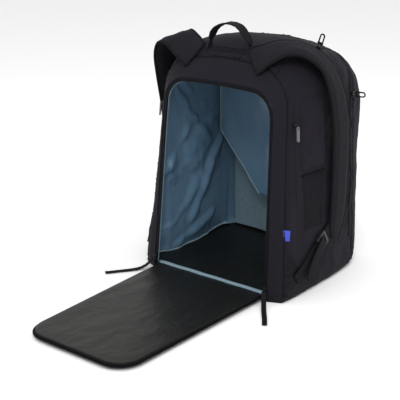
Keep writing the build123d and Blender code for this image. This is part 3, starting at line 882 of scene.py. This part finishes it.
# the padded wearing side of the door, underneath while it lies open
PAD_PLACES = (
    ("right", 0.014, 0.118, 0.150, 0.385),
    ("left", -0.118, -0.014, 0.150, 0.385),
    ("low_right", 0.014, 0.124, 0.012, 0.130),
    ("low_left", -0.124, -0.014, 0.012, 0.130),
)
for word, x0, x1, y0, y1 in PAD_PLACES:
    verts = []
    m, k = 40, 60
    for i in range(k):
        for j in range(m):
            u, v = j / (m - 1) * 2 - 1, i / (k - 1) * 2 - 1
            r = max((abs(u) ** 8 + abs(v) ** 8) ** 0.125, 1e-6)
            squeeze = max(abs(u), abs(v)) / r
            x = (x0 + x1) / 2 + u * squeeze * (x1 - x0) / 2
            y = (y0 + y1) / 2 + v * squeeze * (y1 - y0) / 2
            rise = 1 - max(abs(u), abs(v)) ** 6
            quilt = 1 - 0.35 * ridge(((y * 1000) % 38 - 19) / 1000, 0.003)
            verts.append((x, YH - y, 0.0042 - 0.0040 * min(rise * 1.6, 1) * quilt))
    mesh_object(f"v_door_pad_{word}", verts, grid_faces(k, m), MESH, "door",
                            thick=0.0006)
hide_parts("door_back_pads")


# ---- side pockets, label, corner tabs
def patch(name, sgn, y0, y1, z0, z1, radius, high, mat, rim=0.006, folds=0.0006, gather=0.0):
    """A padded panel sewn on a side of the bag, rising from its seam."""
    m, k = 46, 64
    verts = []
    for i in range(k):
        for j in range(m):
            u, v = j / (m - 1) * 2 - 1, i / (k - 1) * 2 - 1
            a, b = (y1 - y0) / 2, (z1 - z0) / 2
            y, z = u * a, v * b
            cx, cy = max(abs(y) - (a - radius), 0), max(abs(z) - (b - radius), 0)
            if cx > 0 and cy > 0:
                over = math.hypot(cx, cy)
                full = radius * over / max(cx, cy) if over else 1
                scale = radius / full if full else 1
                y = math.copysign(a - radius + cx * scale, y)
                z = math.copysign(b - radius + cy * scale, z)
                cx, cy = cx * scale, cy * scale
            inset = min(a - abs(y), b - abs(z)) if not (cx > 0 and cy > 0) else radius - math.hypot(cx, cy)
            inset = max(inset, 0)
            rise = high * (1 - math.exp(-inset / rim))
            rise += folds * noise.fractal(Vector((y * 40, z * 26, 3.3)), 0.6, 2, 3)
            rise += gather * math.sin(y * 900) * math.exp(-(b - z) / 0.012)
            p, n = nearest((y0 + y1) / 2 + y, (z0 + z1) / 2 + z, sgn)
            verts.append(p + n * max(rise, 0.0003))
    obj = mesh_object(name, verts, grid_faces(k, m), mat, "bag", thick=0.0010)
    edge = [verts[j] for j in range(m)] + [verts[i * m + m - 1] for i in range(1, k)]
    edge += [verts[(k - 1) * m + j] for j in range(m - 2, -1, -1)]
    edge += [verts[i * m] for i in range(k - 2, 0, -1)]
    return obj, [Vector(e) for e in edge]


up_edges, low_edges, tops = [], [], []
for sgn, word in SIDES:
    obj, edge = patch(f"v_side_pocket_{word}", sgn, 0.070, 0.150, 0.256, 0.404, 0.016, 0.0055, SHELL)
    up_edges.append(resample(edge + edge[:1]))
    if sgn > 0:
        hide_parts("side_pockets")
    obj, edge = patch(f"v_stretch_pocket_{word}", sgn, 0.072, 0.148, 0.132, 0.250, 0.012, 0.0034, STRETCH,
                      rim=0.008, folds=0.0012, gather=0.0005)
    low_edges.append(resample(edge + edge[:1]))
    if sgn > 0:
        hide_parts("stretch_pockets")
    run, _ = along_places(np.arange(0.074, 0.1465, 0.004), lambda y: nearest(y, 0.249, sgn, 0.0030))
    tops.append(resample(run))
tube("v_pocket_piping", up_edges, 0.0012, TRIM, "bag")
tube("v_stretch_pocket_tops", tops, 0.0026, TRIM, "bag", flat=0.7)

for sgn, word in SIDES:
    verts, m = [], 14
    a, b, c, d = (0.0155, 0.014), (0.0205, 0.116), (0.066, 0.054), (0.062, 0.034)
    for i in range(m):
        for j in range(m):
            u, v = j / (m - 1), i / (m - 1)
            y, z = ((a[k] * (1 - v) + b[k] * v) * (1 - u) + (d[k] * (1 - v) + c[k] * v) * u for k in (0, 1))
            verts.append(nearest(y, z, sgn, 0.0016)[0])
    tab = mesh_object(f"v_corner_tab_{word}", verts, grid_faces(m, m), WEBBING, "bag",
                      thick=0.0012)
    if sgn > 0:
        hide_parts("corner_tabs")
    sew = [verts[k] + np.array([sgn * 0.0006, 0, 0]) for k in range(m + 1, m * m - m, m)]
    sew2 = [verts[m - 2 + k * m] + np.array([sgn * 0.0006, 0, 0]) for k in range(1, m - 1)]
    stitches(f"v_tab_stitches_{word}", [sew, sew2], "bag")
spot, spot_n = nearest(0.027, 0.139, 1, 0.0024)
spot_up = np.array([0, 0.09, 1.0]) - spot_n * spot_n.dot([0, 0.09, 1.0])
spot_up /= np.linalg.norm(spot_up)
spot_side = np.cross(spot_up, spot_n)
verts = [spot + spot_up * 0.011 * v + spot_side * 0.0075 * u
         for v in np.linspace(-1, 1, 8) for u in np.linspace(-1, 1, 6)]
label = mesh_object("v_side_label", verts, grid_faces(8, 6), LABEL, "bag", thick=0.0008)
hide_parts("side_label")

# ---- shoulder straps
STRAPS = {
    "right": [
        ((66, 52, 467), (1.0, 0.0, -0.14), 31, 4), ((90, 64, 482), (0.94, -0.30, -0.20), 31, 9),
        ((117, 86, 495), (0.80, -0.52, -0.26), 31, 12), ((147, 112, 489), (0.55, -0.72, -0.25), 31, 12),
        ((174, 142, 460), (0.30, -0.90, -0.15), 31, 12), ((188, 166, 408), (0.12, -0.98, -0.06), 31, 12),
        ((193, 182, 342), (0.02, -1.0, -0.02), 31, 12), ((193, 189, 260), (0.0, -1.0, 0.0), 31, 12),
        ((193, 188, 176), (0.0, -1.0, 0.0), 30, 12), ((192, 185, 128), (0.0, -1.0, 0.0), 27, 10),
        ((191, 180, 98), (0.0, -1.0, 0.0), 15, 8),
    ],
    "left": [
        ((-76, 52, 465), (-1.0, 0.0, -0.16), 31, 4), ((-104, 62, 479), (-0.95, -0.22, -0.22), 31, 9),
        ((-134, 72, 490), (-0.86, -0.42, -0.30), 31, 12), ((-164, 82, 482), (-0.62, -0.72, -0.30), 31, 12),
        ((-186, 94, 452), (-0.30, -0.92, -0.15), 31, 12), ((-194, 106, 404), (-0.12, -0.98, -0.06), 31, 12),
        ((-196, 118, 342), (-0.02, -1.0, -0.02), 31, 12), ((-195, 128, 260), (0.0, -1.0, 0.0), 31, 12),
        ((-194, 136, 176), (0.0, -1.0, 0.0), 30, 12), ((-192, 140, 128), (0.0, -1.0, 0.0), 27, 10),
        ((-191, 142, 98), (0.0, -1.0, 0.0), 15, 8),
    ],
}


def spline(values, t):
    """Smooth value along a list at t from 0 to 1."""
    v = np.array(values, float)
    v = np.concatenate([[2 * v[0] - v[1]], v, [2 * v[-1] - v[-2]]])
    s = min(max(t, 0), 1) * (len(v) - 3)
    i = min(int(s), len(v) - 4)
    s -= i
    return between(v[i], v[i + 1], v[i + 2], v[i + 3], s)


def strap_frame(path, t):
    """Centre, direction along, across and outward, half width and thickness of a strap at t."""
    behind, centre, ahead = (
        np.array([spline([p[0][k] / 1000 for p in path], t + step) for k in range(3)]) + [0, YH, 0]
        for step in (-0.01, 0, 0.01)
    )
    along = ahead - behind
    along /= np.linalg.norm(along)
    across = np.array([spline([p[1][k] for p in path], t) for k in range(3)])
    across -= along * across.dot(along)
    across /= np.linalg.norm(across)
    out = np.cross(across, along)
    if out[0] * path[0][0][0] < 0 and t > 0.4:
        out = -out
    if t <= 0.4 and out[2] < 0:
        out = -out
    half = spline([p[2] / 1000 for p in path], t)
    thick = spline([p[3] / 1000 for p in path], t)
    return centre, along, across, out, half, thick


def strap_piece(word):
    path = STRAPS[word]
    body = f"strap_{word}"
    long, wide = 170, 26
    top, under = [], []
    rims = ([], [])
    sewn = ([], [])
    for i in range(long):
        t = i / (long - 1)
        c, _, across, out, half, thick = strap_frame(path, t)
        for j in range(wide):
            u = j / (wide - 1) * 2 - 1
            crown = (1 - abs(u) ** 4.5)
            channel = 0.0016 * (ridge(abs(u) - 0.72, 0.055))
            ripple = 0.0007 * noise.fractal(Vector((u * 1.6 + 5, t * 26, 1.0)), 0.6, 2, 2)
            top.append(c + across * half * 0.965 * u
                       + out * (thick * 0.5 * crown - channel * crown + ripple * crown))
            under.append(c + across * half * 0.965 * u - out * (thick * 0.5 * crown - channel * 0.6 * crown))
        for s, sign in ((0, 1), (1, -1)):
            rims[s].append(c + across * half * 0.965 * sign)
            sewn[s].append(c + across * half * 0.84 * sign + out * thick * 0.5 * (1 - 0.84**4.5))
    sheet = grid_faces(long, wide)
    face = mesh_object(f"v_strap_{word}", top, sheet, STRAP, body, thick=0.0008)
    back = mesh_object(f"v_strap_back_{word}", under, sheet, MESH, body, thick=0.0006)
    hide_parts(f"strap_cover_{word}", f"strap_foam_{word}")
    start, end = ([top[k + j] * 0.5 + under[k + j] * 0.5 for j in range(wide)]
                  for k in (0, (long - 1) * wide))
    bound = [resample(run) for run in (*rims, end, start)]
    tube(f"v_strap_binding_{word}", bound, 0.0027, TRIM, body)
    stitches(f"v_strap_stitches_{word}", sewn, body)


for word in ("right", "left"):
    strap_piece(word)
# the seam each strap is sewn into: a padded wedge that stays on the bag
for sgn, word, x0, x1, in ((1, "right", 0.035, 0.097), (-1, "left", -0.107, -0.045)):
    row = OUTER[int(np.argmin(np.abs(STATIONS - 1.0)))]
    seam = row[row[:, 2] > 0.3][::-1]
    c, _, across, out, half, _ = strap_frame(STRAPS[word], 0.03)
    verts = []
    for v in np.linspace(0, 1, 8):
        for x in np.linspace(x0, x1, 18):
            z = np.interp(x, seam[:, 0], seam[:, 2])
            y = np.interp(x, seam[:, 0], seam[:, 1])
            u = (x - (x0 + x1) / 2) / ((x1 - x0) / 2) * sgn
            end = c + across * half * 0.96 * u + out * 0.001
            start = np.array([x, y - 0.0005, z + 0.0008])
            verts.append(start * (1 - v) + end * v)
    mesh_object(f"v_strap_root_{word}", verts, grid_faces(8, 18), STRAP, "bag", thick=0.0012)


# ---- webbing: handle, lower webbings, pulls
def ribbon(name, path, across, width, thick, mat, body, bow=0.0):
    """Webbing of real thickness along a path, and the lines of its two edges."""
    pts = [Vector(p) for p in path]
    verts = []
    wide = 7
    for i, p in enumerate(pts):
        t = (pts[min(i + 1, len(pts) - 1)] - pts[max(i - 1, 0)]).normalized()
        a = Vector(across[i] if isinstance(across, list) else across)
        a = (a - t * a.dot(t)).normalized()
        n = a.cross(t)
        for j in range(wide):
            u = j / (wide - 1) * 2 - 1
            span = width[i] if isinstance(width, list) else width
            verts.append(p + a * span / 2 * u + n * bow * (1 - u * u) + n * 0.0002 * math.sin(i * 1.9 + j))
    obj = mesh_object(name, verts, grid_faces(len(pts), wide), mat, body, thick=thick)
    obj.modifiers["thickness"].offset = 0
    return obj, [verts[::wide], verts[wide - 1 :: wide]]


HANDLE_PIVOT = 0.491
handle_line = [(-0.054, 0.4905), (-0.0505, 0.501), (-0.040, 0.519), (-0.019, 0.5305), (0.001, 0.5325),
               (0.020, 0.527), (0.036, 0.510), (0.0435, 0.500), (0.045, 0.4905)]
arch = smooth_path([(x, YH + HANDLE_Y, z) for x, z in handle_line])
for word, foot_x in (("left", -0.054), ("right", 0.045)):
    foot = on_crown(foot_x, HANDLE_Y, -0.001)[0]
    root_line = resample([foot, (foot_x, YH + HANDLE_Y, HANDLE_PIVOT)], 0.002)
    ribbon(f"v_handle_root_{word}", root_line, (0, 1, 0), 0.009, 0.0040, WEBBING, "bag")
handle_widths = []
for p in arch:
    from_root = min(np.linalg.norm(p - arch[0]), np.linalg.norm(p - arch[-1]))
    handle_widths.append(0.022 - 0.0165 * math.exp(-((from_root / 0.012) ** 2)))
handle, edges = ribbon("v_grab_handle", arch, (0, 1, 0), handle_widths, 0.0030, WEBBING, "handle",
                       bow=0.0012)
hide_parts("grab_handle")
tube("v_handle_edges", [resample(e[2:-2]) for e in edges], 0.0017, WEBBING, "handle")

# the loose webbing end: how far along from the lock, out from the bag and down
LOOSE_END = ((0.004, 0.0042, 0), (-0.020, 0.0060, 0.004), (-0.044, 0.0056, 0.016), (-0.060, 0.005, 0.036))
# the right door pull's middle line in millimetres, y from the hinge line
PULL_MM = ((146, -9.5, 25), (151, -17, 13), (160, -30, 5.0), (172, -47, 2.6), (190, -71, 2.2),
           (206, -94, 2.6))
for sgn, word in SIDES:
    path = STRAPS[word]
    tip = np.array(path[-1][0]) / 1000 + [0, YH, 0]
    climb = math.radians(34)
    along = np.array([0, math.cos(climb), math.sin(climb)])
    lock = tip + [0, -0.049, 0.004]
    start = nearest(0.046, 0.041, sgn, 0.0030)[0]
    run = [start, start * 0.66 + lock * 0.34 + [sgn * 0.0016, 0, -0.001],
           start * 0.33 + lock * 0.67 + [sgn * 0.0012, 0, 0], lock - along * 0.008 + [sgn * 0.0005, 0, 0]]
    run = [tuple(p) for p in run]
    width = Vector((0, -along[2], along[1]))
    low, _ = ribbon(f"v_lower_webbing_{word}", smooth_path(run), tuple(width), 0.025, 0.0016, WEBBING,
                        None)
    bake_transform(low)
    if sgn > 0:
        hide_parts("lower_webbings")
    # the loose end that the ladder lock lets go, hanging down in front of the webbing
    loose = [lock + along * ahead + [sgn * out, 0, -drop] for ahead, out, drop in LOOSE_END]
    ribbon(f"v_webbing_end_{word}", smooth_path(loose), tuple(width), 0.024, 0.0015, WEBBING,
           f"strap_{word}")
    short = [lock + along * 0.006 + [sgn * 0.0004, 0, 0], lock + along * 0.024,
             lock + along * 0.042 + [-sgn * 0.0008, 0, 0]]
    tail, _ = ribbon(f"v_strap_tail_{word}", smooth_path(short), tuple(width), 0.024, 0.0018, WEBBING,
                     f"strap_{word}")
    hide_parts(f"strap_tail_{word}")
    pull_path = [(sgn * x / 1000, YH + y / 1000, z / 1000) for x, y, z in PULL_MM]
    pull, _ = ribbon(f"v_door_pull_{word}", smooth_path(pull_path, 0.003), (0.82, sgn * 0.57, 0), 0.010,
                     0.0018, WEBBING, f"door_pull_{word}")
    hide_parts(f"door_pull_{word}")

# ---- hard pieces from CAD take their materials
HARD_PIECES = (
    (METAL, ("door_slider_left", "door_slider_right", "lid_slider", "front_slider", "side_slider_left",
             "side_slider_right")),
    (GREY, ("side_pull_left", "side_pull_right")),
    (PLASTIC, ("ladder_lock_left", "ladder_lock_right")),
    (WEBBING, ("lid_loop", "front_loop")),
    (BASE, ("base_pad",)),
)
for mat, nodes in HARD_PIECES:
    for node in nodes:
        NODES[node].data.materials.clear()
        NODES[node].data.materials.append(mat)
        NODES[node].data.shade_smooth()

# ---- stage and light
ground_data = bpy.data.meshes.new("ground")
GROUND_Z = -0.0004
ground_corners = [(x, y, GROUND_Z) for x, y in ((-6, -6), (6, -6), (6, 6), (-6, 6))]
ground_data.from_pydata(ground_corners, [], [(0, 1, 2, 3)])
ground = place_object("ground", ground_data)
white = bpy.data.materials.new("studio_white")
white.use_nodes = True
white.node_tree.nodes["Principled BSDF"].inputs["Base Color"].default_value = (0.92, 0.92, 0.92, 1)
white.node_tree.nodes["Principled BSDF"].inputs["Roughness"].default_value = 0.9
ground_data.materials.append(white)


def lamp(name, place, towards, size, power):
    data = bpy.data.lights.new(name, "AREA")
    data.shape = "DISK"
    data.size = size
    data.energy = power
    place_object(name, data, place, towards)


lamp("key", (1.3, -2.0, 2.4), (0, 0, 0.2), 1.3, 44)
lamp("fill", (-2.2, -1.6, 1.6), (0, -0.1, 0.2), 1.6, 8)
lamp("top", (0.3, 0.6, 2.8), (0, 0, 0.2), 1.6, 12)
lamp("side", (2.4, 0.5, 1.2), (0.1, 0, 0.25), 1.2, 2)
world = bpy.data.worlds.new("studio")
bpy.context.scene.world = world
world.use_nodes = True
world.node_tree.nodes["Background"].inputs["Color"].default_value = (1, 1, 1, 1)
world.node_tree.nodes["Background"].inputs["Strength"].default_value = 0.90
bpy.context.scene.view_settings.view_transform = "Standard"
